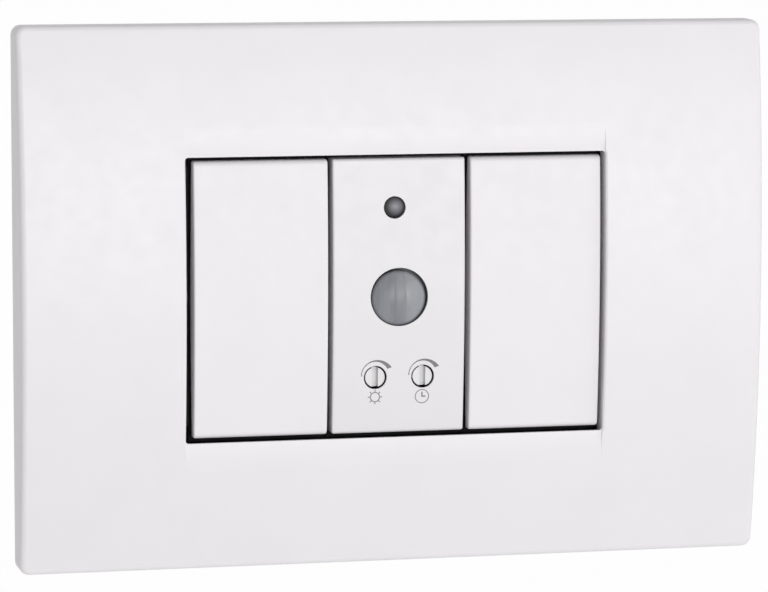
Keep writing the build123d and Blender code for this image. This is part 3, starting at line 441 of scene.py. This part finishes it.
finishes = {
    "plate_plastic": moulded_plastic("white_plate_plastic", (0.792, 0.773, 0.792), roughness=0.42),
    "key_plastic": moulded_plastic(
        "white_key_plastic", (0.80, 0.78, 0.80), roughness=0.48, grain_depth=0.003),
    "fascia_plastic": moulded_plastic("white_fascia_plastic", (0.752, 0.736, 0.752), roughness=0.42),
    "frame_plastic": moulded_plastic(
        "dark_frame_plastic", (0.012, 0.012, 0.013), roughness=0.65,
        grain=0.4, grain_depth=0.012, cloud=0.8, sheen=0.12),
    "housing_plastic": moulded_plastic(
        "black_housing_plastic", (0.006, 0.006, 0.0065), roughness=0.65,
        grain=0.35, grain_depth=0.010, cloud=0.8, sheen=0.12),
    "base_plastic": moulded_plastic(
        "grey_base_plastic", (0.12, 0.12, 0.13), roughness=0.5, grain=0.4, grain_depth=0.012, cloud=0.85),
    "carrier_plastic": moulded_plastic(
        "grey_carrier_plastic", (0.07, 0.07, 0.08), roughness=0.45, grain=0.4, grain_depth=0.010, cloud=0.85),
    "plunger_plastic": moulded_plastic(
        "natural_acetal", (0.68, 0.65, 0.58), roughness=0.35, grain=0.3, grain_depth=0.003, cloud=0.95),
    "dial_plastic": moulded_plastic(
        "white_dial_plastic", (0.73, 0.72, 0.73), roughness=0.38, grain=0.2, grain_depth=0.004),
    "lens_plastic": milky_lens("milky_lens_plastic"),
    "smoked_plastic": smoked_window("smoked_window_plastic"),
    "clear_resin": moulded_plastic(
        "clear_sensor_resin", (0.62, 0.66, 0.70), roughness=0.10, grain=0.4, grain_depth=0.001, cloud=0.95),
    "chip_epoxy": moulded_plastic(
        "moulded_chip_epoxy", (0.011, 0.011, 0.012), roughness=0.55, grain=0.2, grain_depth=0.010, cloud=0.7),
    "trimmer_plastic": moulded_plastic(
        "dark_trimmer_plastic", (0.022, 0.022, 0.025), roughness=0.5,
        grain=0.3, grain_depth=0.006, cloud=0.85),
    "relay_plastic": moulded_plastic(
        "dark_relay_case", (0.010, 0.022, 0.09), roughness=0.25, grain=0.4, grain_depth=0.003, cloud=0.9),
    "capacitor_plastic": moulded_plastic(
        "ochre_capacitor_case", (0.58, 0.34, 0.030), roughness=0.4, grain=0.3, grain_depth=0.006, cloud=0.9),
    "capacitor_sleeve": moulded_plastic(
        "capacitor_sleeve_film", (0.008, 0.010, 0.035), roughness=0.25,
        grain=0.5, grain_depth=0.002, cloud=0.9),
    "varistor_coating": moulded_plastic(
        "dipped_blue_coating", (0.014, 0.063, 0.26), roughness=0.3, grain=0.9, grain_depth=0.030, cloud=0.85),
    "fuse_ceramic": moulded_plastic(
        "fuse_ceramic_tube", (0.68, 0.66, 0.60), roughness=0.3, grain=0.2, grain_depth=0.004, cloud=0.92),
    "spring_steel": drawn_metal("drawn_spring_wire", (0.42, 0.42, 0.43), roughness=0.28, streak=(1, 4, 1)),
    "contact_copper": drawn_metal(
        "rolled_copper_alloy", (0.62, 0.29, 0.13), roughness=0.3, streak=(6, 1, 1)),
    "contact_silver": drawn_metal("silver_contact", (0.72, 0.71, 0.68), roughness=0.25),
    "terminal_brass": drawn_metal("machined_brass", (0.60, 0.40, 0.13), roughness=0.28, streak=(1, 1, 6)),
    "zinc_plated_steel": drawn_metal(
        "zinc_plated_steel", (0.50, 0.50, 0.51), roughness=0.30, streak=(1, 5, 1)),
    "nickel_plated_steel": drawn_metal("nickel_plated_can", (0.60, 0.58, 0.54), roughness=0.20),
    "filter_glass": drawn_metal("coated_filter_pane", (0.10, 0.09, 0.14), roughness=0.08),
    "tinned_brass": drawn_metal("tinned_pin", (0.56, 0.55, 0.52), roughness=0.3, streak=(1, 6, 1)),
    "enamelled_copper": drawn_metal(
        "enamelled_winding_wire", (0.36, 0.09, 0.02), roughness=0.3, streak=(6, 6, 1)),
    "relay_iron": drawn_metal("plated_soft_iron", (0.34, 0.34, 0.34), roughness=0.36, streak=(1, 1, 5)),
    "board_laminate": circuit_board("green_circuit_board", (0.010, 0.085, 0.030), (0.045, 0.16, 0.050)),
}
printed_grey = moulded_plastic(
    "printed_grey_ink", (0.20, 0.20, 0.205), roughness=0.6, grain=0.2, grain_depth=0.003, cloud=0.9)

for entry in frame["record"]["subparts"]:
    piece = nodes[entry["node"]]
    piece.data.materials.clear()
    piece.data.materials.append(finishes[entry["material_slot"]].material)


# Shapes in mesh code

def finished(name, form, kit, body, smooth_angle=35.0):
    """Turns a bmesh into a piece that rides on a body."""
    data = bpy.data.meshes.new(name)
    bmesh.ops.recalc_face_normals(form, faces=form.faces)
    form.to_mesh(data)
    form.free()
    data.materials.append(kit.material)
    data.shade_smooth()
    data.set_sharp_from_angle(angle=math.radians(smooth_angle))
    piece = bpy.data.objects.new(name, data)
    bpy.context.scene.collection.objects.link(piece)
    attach(piece, body)
    return piece


def fascia_front(z):
    """The y of the sensor fascia's front at this height."""
    return -(fascia_crown - (cap_radius - math.sqrt(cap_radius**2 - z**2)))


def ink_band(form, inner, outer):
    """A closed printed band between two rows of (x, z) points of equal count."""
    front = []
    back = []
    for row in (inner, outer):
        front.append([form.verts.new((x, fascia_front(z) - ink_lift, z)) for x, z in row])
        back.append([form.verts.new((x, fascia_front(z) + ink_sink, z)) for x, z in row])
    count = len(inner)
    for i in range(count - 1):
        form.faces.new((front[0][i], front[0][i + 1], front[1][i + 1], front[1][i]))
        form.faces.new((back[0][i], back[1][i], back[1][i + 1], back[0][i + 1]))
        form.faces.new((front[0][i], back[0][i], back[0][i + 1], front[0][i + 1]))
        form.faces.new((front[1][i], front[1][i + 1], back[1][i + 1], back[1][i]))
    for i in (0, count - 1):
        form.faces.new((front[0][i], front[1][i], back[1][i], back[0][i]))


def round_row(x, z, radius, start, end, count):
    """Points on an arc; the angles are in degrees, from the right and anticlockwise."""
    row = []
    for i in range(count):
        share = i / (count - 1)
        angle = math.radians(start + (end - start) * share)
        reach = radius(share)
        row.append((x + reach * math.cos(angle), z + reach * math.sin(angle)))
    return row


def growing_radius(first, swell, growth):
    """A radius that grows along an arc and swells in its middle, for a share of the way."""
    return lambda share: first + swell * share * (1 - share) + growth * share


def wedge_scale(form, x):
    """The growing arc over a dial."""
    inner = round_row(x, dial_z, growing_radius(*wedge_inner), *wedge_inner_angles, wedge_points)
    outer = round_row(x, dial_z, growing_radius(*wedge_outer), *wedge_outer_angles, wedge_points)
    ink_band(form, inner, outer)


def ink_ring(form, x, z, radius, width):
    """A printed ring about a point."""
    inner = round_row(x, z, lambda share: radius - width / 2, *ring_angles, ring_points)
    outer = round_row(x, z, lambda share: radius + width / 2, *ring_angles, ring_points)
    ink_band(form, inner, outer)


def ink_line(form, x, z, angle, start, end, width):
    """A straight stroke away from a point."""
    along = Vector((math.cos(math.radians(angle)), math.sin(math.radians(angle))))
    across = Vector((-along.y, along.x)) * width / 2
    middle = Vector((x, z))
    rows = []
    for side in (-1, 1):
        rows.append([tuple(middle + along * distance + across * side) for distance in (start, end)])
    ink_band(form, rows[0], rows[1])


def dial_marks():
    """The growing arcs, the sun for brightness and the clock for time."""
    form = bmesh.new()
    for x in dial_xs:
        wedge_scale(form, x)
    ink_ring(form, sun_x, sun_z, sun_radius, mark_stroke)
    for ray in range(sun_rays):
        ink_line(form, sun_x, sun_z, ray * 360 / sun_rays, sun_ray_start, sun_ray_end, mark_stroke)
    ink_ring(form, clock_x, clock_z, clock_radius, clock_stroke)
    ink_line(form, clock_x, clock_z, 90, *minute_hand, hand_stroke)
    ink_line(form, clock_x, clock_z, 0, *hour_hand, hand_stroke)
    finished("printed_dial_marks", form, printed_grey, "wall_unit")


dial_marks()


# Lens with upright facets

lens_ball = (lens_radius**2 + lens_rise**2) / (2 * lens_rise)


def facet_height(x, z):
    """How much lower than the smooth dome the lens lies at this place."""
    groove = 0.0
    for left, right, depth in zip(facet_edges, facet_edges[1:], facet_depths):
        if left <= x <= right:
            share = (x - left) / (right - left)
            groove = depth * (1 - math.sin(math.pi * share)**facet_bend) + depth * facet_lean * (0.5 - share)
    tier = tier_depth * max(0.0, min(1.0, (z - tier_z) / tier_run))
    return max(0.0, groove + tier)


def lens_column(x):
    """Half the height of the lens at this distance from its middle."""
    return math.sqrt(max(0.0, lens_radius**2 - x**2))


def faceted_lens():
    """The lens as a closed shell: a faceted front, a straight wall, a flange and a smooth hollow behind."""
    form = bmesh.new()
    dome_x = module_x + lens_shift_x
    dome_z = lens_z + lens_shift_z
    columns = [-lens_radius * math.cos(math.pi * i / lens_turns) for i in range(lens_turns + 1)]
    for edge in facet_edges[1:-1]:
        nearest = min(range(1, lens_turns), key=lambda i: abs(columns[i] - edge))
        columns[nearest] = edge
    grid = []
    for x in columns:
        half = lens_column(x)
        count = 1 if half < 0.001 * mm else lens_rows + 1
        column = []
        for j in range(count):
            z = half * (2 * j / lens_rows - 1) if count > 1 else 0.0
            radius = math.hypot(x, z)
            dome = math.sqrt(lens_ball**2 - radius**2) - (lens_ball - lens_rise)
            fade = min(1.0, (lens_radius - radius) / lens_rim_fade)
            y = -lens_edge - dome + facet_height(x, z) * fade
            column.append(form.verts.new((dome_x + x, y, dome_z + z)))
        grid.append(column)
    for a, b in zip(grid, grid[1:]):
        for j in range(lens_rows):
            left = [a[min(k, len(a) - 1)] for k in (j, j + 1)]
            right = [b[min(k, len(b) - 1)] for k in (j + 1, j)]
            unique = list(dict.fromkeys(left + right))
            if len(unique) > 2:
                form.faces.new(unique)
    border = [column[0] for column in grid] + [column[-1] for column in reversed(grid[1:-1])]
    angles = [math.atan2(v.co.z - dome_z, v.co.x - dome_x) for v in border]
    inner_radius = lens_radius - lens_wall
    inner_ball = (inner_radius**2 + lens_rise**2) / (2 * lens_rise)
    rings = [(lens_radius, -lens_back), (lens_flange_radius, -lens_back),
             (lens_flange_radius, -lens_back + lens_flange), (inner_radius, -lens_back + lens_flange),
             (inner_radius, -lens_edge + lens_wall)]
    for share in hollow_shares:
        radius = inner_radius * share
        dome = math.sqrt(inner_ball**2 - radius**2) - (inner_ball - lens_rise)
        rings.append((radius, -lens_edge + lens_wall - dome))
    last = border
    for radius, y in rings:
        middle_x = module_x if radius == lens_flange_radius else dome_x
        middle_z = lens_z if radius == lens_flange_radius else dome_z
        ring = []
        for angle in angles:
            x = middle_x + radius * math.cos(angle)
            z = middle_z + radius * math.sin(angle)
            ring.append(form.verts.new((x, y, z)))
        for i in range(len(ring)):
            j = (i + 1) % len(ring)
            form.faces.new((last[i], last[j], ring[j], ring[i]))
        last = ring
    form.faces.new(last)
    piece = finished("faceted_lens", form, finishes["lens_plastic"], "wall_unit", 50.0)
    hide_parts("pir_lens")


faceted_lens()


# Wire and thread that wind round a core

def winding_tree():
    """A wire of any radius, wound as a screw line along Z."""
    tree = bpy.data.node_groups.new("wound_wire", "GeometryNodeTree")
    tree.interface.new_socket("Geometry", in_out="OUTPUT", socket_type="NodeSocketGeometry")
    for name in ("Turns", "Radius", "Length", "Wire Radius"):
        tree.interface.new_socket(name, in_out="INPUT", socket_type="NodeSocketFloat")
    tree.interface.new_socket("Wire Sides", in_out="INPUT", socket_type="NodeSocketInt")
    tree.interface.new_socket("Material", in_out="INPUT", socket_type="NodeSocketMaterial")
    source = tree.nodes.new("NodeGroupInput")
    spiral = tree.nodes.new("GeometryNodeCurveSpiral")
    spiral.inputs["Resolution"].default_value = points_per_turn
    tree.links.new(source.outputs["Turns"], spiral.inputs["Rotations"])
    tree.links.new(source.outputs["Radius"], spiral.inputs["Start Radius"])
    tree.links.new(source.outputs["Radius"], spiral.inputs["End Radius"])
    tree.links.new(source.outputs["Length"], spiral.inputs["Height"])
    section = tree.nodes.new("GeometryNodeCurvePrimitiveCircle")
    tree.links.new(source.outputs["Wire Sides"], section.inputs["Resolution"])
    tree.links.new(source.outputs["Wire Radius"], section.inputs["Radius"])
    sweep = tree.nodes.new("GeometryNodeCurveToMesh")
    sweep.inputs["Fill Caps"].default_value = True
    tree.links.new(spiral.outputs["Curve"], sweep.inputs["Curve"])
    tree.links.new(section.outputs["Curve"], sweep.inputs["Profile Curve"])
    real = tree.nodes.new("GeometryNodeRealizeInstances")
    tree.links.new(sweep.outputs["Mesh"], real.inputs["Geometry"])
    finish = tree.nodes.new("GeometryNodeSetMaterial")
    tree.links.new(real.outputs["Geometry"], finish.inputs["Geometry"])
    tree.links.new(source.outputs["Material"], finish.inputs["Material"])
    tree.links.new(finish.outputs["Geometry"], tree.nodes.new("NodeGroupOutput").inputs["Geometry"])
    return tree


def grown(tree, sizes):
    """The plain mesh that a node tree makes with these sizes."""
    holder = bpy.data.objects.new("holder", bpy.data.meshes.new("holder"))
    bpy.context.scene.collection.objects.link(holder)
    modifier = holder.modifiers.new("tree", "NODES")
    modifier.node_group = tree
    for item in tree.interface.items_tree:
        if item.in_out == "INPUT" and item.name in sizes:
            modifier[item.identifier] = sizes[item.name]
    evaluated = holder.evaluated_get(bpy.context.evaluated_depsgraph_get())
    mesh = bpy.data.meshes.new_from_object(evaluated)
    bpy.data.objects.remove(holder)
    return mesh


wound_wire = winding_tree()


def revolve(form, profile, place, count=64):
    """A round shape along Y from (radius, y) points; a point of radius zero closes an end."""
    rings = []
    for radius, y in profile:
        if radius == 0:
            rings.append([form.verts.new((place[0], place[1] + y, place[2]))])
            continue
        ring = []
        for i in range(count):
            angle = 2 * math.pi * i / count
            ring.append(form.verts.new((place[0] + radius * math.cos(angle), place[1] + y,
                                        place[2] + radius * math.sin(angle))))
        rings.append(ring)
    for a, b in zip(rings, rings[1:]):
        for i in range(count):
            j = (i + 1) % count
            corners = [a[i % len(a)], a[j % len(a)], b[j % len(b)], b[i % len(b)]]
            unique = list(dict.fromkeys(corners))
            if len(unique) > 2:
                form.faces.new(unique)


def cross_cutter(x):
    """The cross that is pressed into a screw head, with sloping ends."""
    form = bmesh.new()
    top = -box_seat - box_head_height - cross_overrun
    deep = -box_seat - box_head_height + box_drive_depth
    for turn in (0, 1):
        rows = []
        for y, share in ((top, cross_top_share), (deep, cross_deep_share)):
            reach = box_head_radius * share
            half = box_drive_width / 2
            corners = [(-reach, -half), (reach, -half), (reach, half), (-reach, half)]
            if turn:
                corners = [(b, a) for a, b in corners]
            rows.append([form.verts.new((x + a, y, b)) for a, b in corners])
        form.faces.new(rows[0])
        form.faces.new(rows[1])
        for i in range(4):
            j = (i + 1) % 4
            form.faces.new((rows[0][i], rows[0][j], rows[1][j], rows[1][i]))
    bmesh.ops.recalc_face_normals(form, faces=form.faces)
    data = bpy.data.meshes.new("cross_cutter")
    form.to_mesh(data)
    form.free()
    cutter = bpy.data.objects.new("cross_cutter", data)
    bpy.context.scene.collection.objects.link(cutter)
    return cutter


def screw_core(x):
    """Head, neck and root of one box screw, with the cross already cut."""
    form = bmesh.new()
    top = -box_seat - box_head_height
    root = box_screw_radius - thread_depth
    tip = box_screw_length - box_seat
    flat = box_head_radius * head_flat_share
    crown = box_head_height * head_crown_share
    profile = [(0, top)]
    for step in range(1, arc_steps + 1):
        angle = math.radians(90 * step / arc_steps)
        radius = flat + (box_head_radius - flat) * math.sin(angle)
        profile.append((radius, top + crown * (1 - math.cos(angle))))
    profile += [(box_head_radius, -box_seat), (box_neck_radius, -box_seat), (box_neck_radius, shoulder_start),
                (root, shoulder_end), (root, tip - tip_taper), (root * tip_share, tip), (0, tip)]
    revolve(form, profile, (x, 0, 0))
    bmesh.ops.recalc_face_normals(form, faces=form.faces)
    data = bpy.data.meshes.new("screw_core")
    form.to_mesh(data)
    form.free()
    core = bpy.data.objects.new("screw_core", data)
    bpy.context.scene.collection.objects.link(core)
    cutter = cross_cutter(x)
    cut = core.modifiers.new("cross", "BOOLEAN")
    cut.object = cutter
    cut.operation = "DIFFERENCE"
    cut.solver = "EXACT"
    cut.use_self = True
    mesh = bpy.data.meshes.new_from_object(core.evaluated_get(bpy.context.evaluated_depsgraph_get()))
    for thing in (core, cutter):
        bpy.data.objects.remove(thing)
    return mesh


def threaded_box_screws():
    """Both box screws, with a rolled thread from the wall plane to the tip."""
    form = bmesh.new()
    steel = finishes["zinc_plated_steel"]
    length = box_screw_length - box_seat - thread_run_out
    thread = grown(wound_wire, {"Turns": length / thread_pitch, "Radius": box_screw_radius - thread_depth,
                                "Length": length, "Wire Radius": thread_wire, "Wire Sides": 4,
                                "Material": steel.material})
    lying = Matrix.Rotation(math.radians(-90), 4, "X")
    for x in (-box_screw_x, box_screw_x):
        form.from_mesh(screw_core(x))
        turned = thread.copy()
        turned.transform(Matrix.Translation((x, thread_start, 0)) @ lying)
        form.from_mesh(turned)
    piece = finished("threaded_box_screws", form, steel, "wall_unit")
    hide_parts("box_screws")


threaded_box_screws()


def wound_relay_coil():
    """A bobbin with its turns of enamelled wire."""
    copper = finishes["enamelled_copper"]
    form = bmesh.new()
    core_radius = coil_winding_radius - coil_wire
    bevelled = coil_flange_radius - coil_bevel
    high = coil_length - coil_flange
    profile = [(coil_hole_radius, 0), (bevelled, 0), (coil_flange_radius, coil_bevel),
               (coil_flange_radius, coil_flange), (core_radius, coil_flange), (core_radius, high),
               (coil_flange_radius, high), (coil_flange_radius, coil_length - coil_bevel),
               (bevelled, coil_length), (coil_hole_radius, coil_length), (coil_hole_radius, 0)]
    revolve(form, profile, (0, 0, 0), 72)
    bmesh.ops.remove_doubles(form, verts=form.verts, dist=0.001 * mm)
    bobbin = bpy.data.meshes.new("bobbin")
    form.to_mesh(bobbin)
    upright = Matrix.Rotation(math.radians(90), 4, "X")
    bobbin.transform(Matrix.Translation((coil_x, coil_y, coil_low)) @ upright)
    form.free()
    form = bmesh.new()
    form.from_mesh(bobbin)
    length = high - coil_flange - 2 * coil_wire
    turns = grown(wound_wire, {"Turns": length / (2 * coil_wire), "Radius": core_radius, "Length": length,
                               "Wire Radius": coil_wire, "Wire Sides": 8, "Material": copper.material})
    turns.transform(Matrix.Translation((coil_x, coil_y, coil_low + coil_flange + coil_wire)))
    form.from_mesh(turns)
    piece = finished("wound_relay_coil", form, copper, "wall_unit")
    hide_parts("relay_coil")


wound_relay_coil()


# Small webs in the corners of the frame's window

def frame_corner_webs():
    """Moulded corners of the frame's window that follow the rounded corners of the outer housings."""
    form = bmesh.new()
    reach = housing_edge_radius + web_play
    for side in (-1, 1):
        turn_x = module_x + side * (module_pitch + housing_half - housing_edge_radius)
        for up in (-1, 1):
            turn_z = up * (housing_half_height - housing_edge_radius)
            outline = [(side * frame_window_half, up * frame_window_half_height),
                       (turn_x, up * frame_window_half_height)]
            for step in range(arc_steps + 1):
                angle = math.radians(90 * step / arc_steps)
                across = side * reach * math.sin(angle)
                outline.append((turn_x + across, turn_z + up * reach * math.cos(angle)))
            outline.append((side * frame_window_half, turn_z))
            rows = [[form.verts.new((x, y, z)) for x, z in outline] for y in (-frame_thickness, 0)]
            form.faces.new(rows[0])
            form.faces.new(rows[1])
            for i in range(len(outline)):
                j = (i + 1) % len(outline)
                form.faces.new((rows[0][i], rows[0][j], rows[1][j], rows[1][i]))
    finished("frame_corner_webs", form, finishes["frame_plastic"], "wall_unit")


frame_corner_webs()


# Floor

def floor_plane():
    """A wide pale floor that shows white and keeps the object's shadow."""
    data = bpy.data.meshes.new("floor")
    signs = ((-1, -1), (1, -1), (1, 1), (-1, 1))
    corners = [(x * floor_half, y * floor_half, floor_height) for x, y in signs]
    data.from_pydata(corners, [], [(0, 1, 2, 3)])
    floor = bpy.data.objects.new("floor", data)
    bpy.context.scene.collection.objects.link(floor)
    kit = Kit("pale_floor", (0.85, 0.85, 0.85), 0.9)
    tree = kit.material.node_tree
    glow = kit.nodes.new("ShaderNodeEmission")
    glow.inputs["Color"].default_value = (1, 1, 1, 1)
    glow.inputs["Strength"].default_value = 1.0
    mix = kit.nodes.new("ShaderNodeMixShader")
    share = kit.spread(seen_or_reflected(tree), 0.4, 0.98, 0, 1)
    kit.links.new(share, mix.inputs["Fac"])
    kit.links.new(kit.surface.outputs["BSDF"], mix.inputs[1])
    kit.links.new(glow.outputs["Emission"], mix.inputs[2])
    kit.links.new(mix.outputs["Shader"], kit.nodes["Material Output"].inputs["Surface"])
    data.materials.append(kit.material)


floor_plane()
